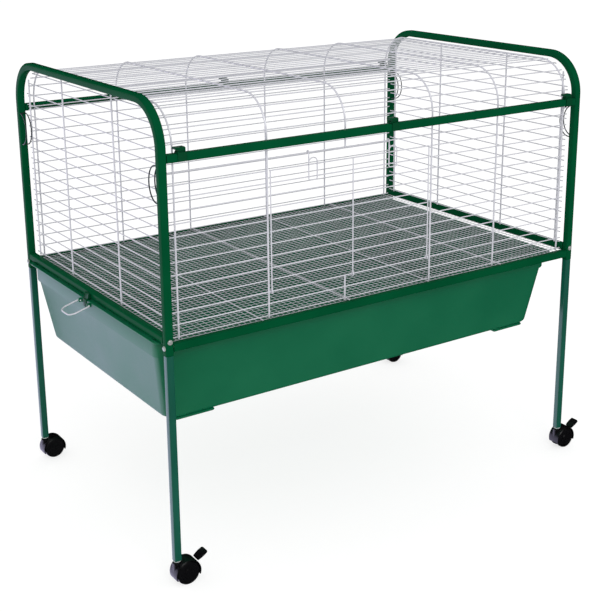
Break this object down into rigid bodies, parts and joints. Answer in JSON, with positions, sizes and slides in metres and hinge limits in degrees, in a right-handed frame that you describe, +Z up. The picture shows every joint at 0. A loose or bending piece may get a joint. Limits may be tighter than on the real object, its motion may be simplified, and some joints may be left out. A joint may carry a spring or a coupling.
{
  "type": "wire rabbit cage",
  "caption": "Wire rabbit cage with rounded roof corners, drop-down front door and slide-out droppings tray, on a tube stand with casters",
  "frame": {"origin": "on the floor under the middle of the bounding box", "axes": "+X along the length, away from the tray's latch and bail; +Y from the door to the back; +Z up"},
  "size_m": [1.1812, 0.7024, 0.965],
  "materials": {
    "frame_paint": "dark green gloss enamel on steel tube",
    "leg_paint": "green gloss enamel on steel tube, slightly bluer",
    "tray_plastic": "moulded green plastic, satin",
    "clip_plastic": "dark green moulded plastic",
    "panel_wire": "welded wire with a light grey coating",
    "clip_wire": "dark spring wire",
    "zinc": "zinc plated, satin",
    "nylon": "pale grey nylon",
    "caster_plastic": "black nylon, satin"
  },
  "bodies": {
    "stand": {"left_hoop": "frame_paint", "right_hoop": "frame_paint", "front_left_leg": "leg_paint", "front_right_leg": "leg_paint", "back_left_leg": "leg_paint", "back_right_leg": "leg_paint", "front_rail": "frame_paint", "back_rail": "frame_paint", "left_rail": "frame_paint", "right_rail": "frame_paint", "front_bar": "frame_paint", "back_bar": "frame_paint", "front_left_long_bolt": "zinc", "front_right_long_bolt": "zinc", "back_left_long_bolt": "zinc", "back_right_long_bolt": "zinc", "front_left_end_bolt": "zinc", "front_right_end_bolt": "zinc", "back_left_end_bolt": "zinc", "back_right_end_bolt": "zinc", "front_panel": "panel_wire", "back_panel": "panel_wire", "left_panel": "panel_wire", "right_panel": "panel_wire", "roof_panel": "panel_wire", "floor_grille": "panel_wire", "front_left_spring_clip": "clip_wire", "front_right_spring_clip": "clip_wire", "back_left_spring_clip": "clip_wire", "back_right_spring_clip": "clip_wire", "front_clip_left": "clip_plastic", "front_clip_middle": "clip_plastic", "front_clip_right": "clip_plastic", "back_clip_middle": "clip_plastic", "back_clip_right": "clip_plastic", "front_tray_runner": "frame_paint", "back_tray_runner": "frame_paint", "front_left_caster_socket": "nylon", "front_right_caster_socket": "nylon", "back_left_caster_socket": "nylon", "back_right_caster_socket": "nylon"},
    "door": {"front_door": "panel_wire"},
    "left_latch": {"left_door_latch": "panel_wire"},
    "right_latch": {"right_door_latch": "panel_wire"},
    "tray": {"tray": "tray_plastic"},
    "tray_lever": {"tray_latch": "clip_plastic"},
    "bail": {"tray_bail": "panel_wire"},
    "front_left_caster": {"front_left_caster_housing": "caster_plastic"},
    "front_left_wheels": {"front_left_caster_wheels": "caster_plastic"},
    "front_left_brake": {"front_left_caster_brake": "caster_plastic"},
    "front_right_caster": {"front_right_caster_housing": "caster_plastic"},
    "front_right_wheels": {"front_right_caster_wheels": "caster_plastic"},
    "front_right_brake": {"front_right_caster_brake": "caster_plastic"},
    "back_left_caster": {"back_left_caster_housing": "caster_plastic"},
    "back_left_wheels": {"back_left_caster_wheels": "caster_plastic"},
    "back_right_caster": {"back_right_caster_housing": "caster_plastic"},
    "back_right_wheels": {"back_right_caster_wheels": "caster_plastic"}
  },
  "joints": [
    {"name": "front_door_hinge", "type": "hinge", "parent": "stand", "child": "door", "pos_m": [-0.09045, -0.3245, 0.5601], "axis": [1, 0, 0], "range_deg": [0, 150]},
    {"name": "left_latch_lift", "type": "slide", "parent": "door", "child": "left_latch", "axis": [0, 0, 1], "range_m": [0, 0.012]},
    {"name": "right_latch_lift", "type": "slide", "parent": "door", "child": "right_latch", "axis": [0, 0, 1], "range_m": [0, 0.012]},
    {"name": "tray_slide", "type": "slide", "parent": "stand", "child": "tray", "axis": [-1, 0, 0], "range_m": [0, 0.85]},
    {"name": "tray_latch_pivot", "type": "hinge", "parent": "tray", "child": "tray_lever", "pos_m": [-0.54145, 0, 0.496], "axis": [0, -1, 0], "range_deg": [0, 30]},
    {"name": "tray_bail_swing", "type": "hinge", "parent": "tray", "child": "bail", "pos_m": [-0.54295, 0, 0.496], "axis": [0, -1, 0], "range_deg": [-55, 60]},
    {"name": "front_left_caster_swivel", "type": "hinge", "parent": "stand", "child": "front_left_caster", "pos_m": [-0.52345, -0.335, 0.06], "axis": [0, 0, 1], "continuous": true},
    {"name": "front_left_wheel_spin", "type": "hinge", "parent": "front_left_caster", "child": "front_left_wheels", "pos_m": [-0.50545, -0.335, 0.0245], "axis": [0, 1, 0], "continuous": true},
    {"name": "front_left_brake_pivot", "type": "hinge", "parent": "front_left_caster", "child": "front_left_brake", "pos_m": [-0.48045, -0.335, 0.043], "axis": [0, 1, 0], "range_deg": [0, 15]},
    {"name": "front_right_caster_swivel", "type": "hinge", "parent": "stand", "child": "front_right_caster", "pos_m": [0.52655, -0.335, 0.06], "axis": [0, 0, 1], "continuous": true},
    {"name": "front_right_wheel_spin", "type": "hinge", "parent": "front_right_caster", "child": "front_right_wheels", "pos_m": [0.54455, -0.335, 0.0245], "axis": [0, 1, 0], "continuous": true},
    {"name": "front_right_brake_pivot", "type": "hinge", "parent": "front_right_caster", "child": "front_right_brake", "pos_m": [0.56955, -0.335, 0.043], "axis": [0, 1, 0], "range_deg": [0, 15]},
    {"name": "back_left_caster_swivel", "type": "hinge", "parent": "stand", "child": "back_left_caster", "pos_m": [-0.52345, 0.335, 0.06], "axis": [0, 0, 1], "continuous": true},
    {"name": "back_left_wheel_spin", "type": "hinge", "parent": "back_left_caster", "child": "back_left_wheels", "pos_m": [-0.50545, 0.335, 0.0245], "axis": [0, 1, 0], "continuous": true},
    {"name": "back_right_caster_swivel", "type": "hinge", "parent": "stand", "child": "back_right_caster", "pos_m": [0.52655, 0.335, 0.06], "axis": [0, 0, 1], "continuous": true},
    {"name": "back_right_wheel_spin", "type": "hinge", "parent": "back_right_caster", "child": "back_right_wheels", "pos_m": [0.54455, 0.335, 0.0245], "axis": [0, 1, 0], "continuous": true}
  ]
}
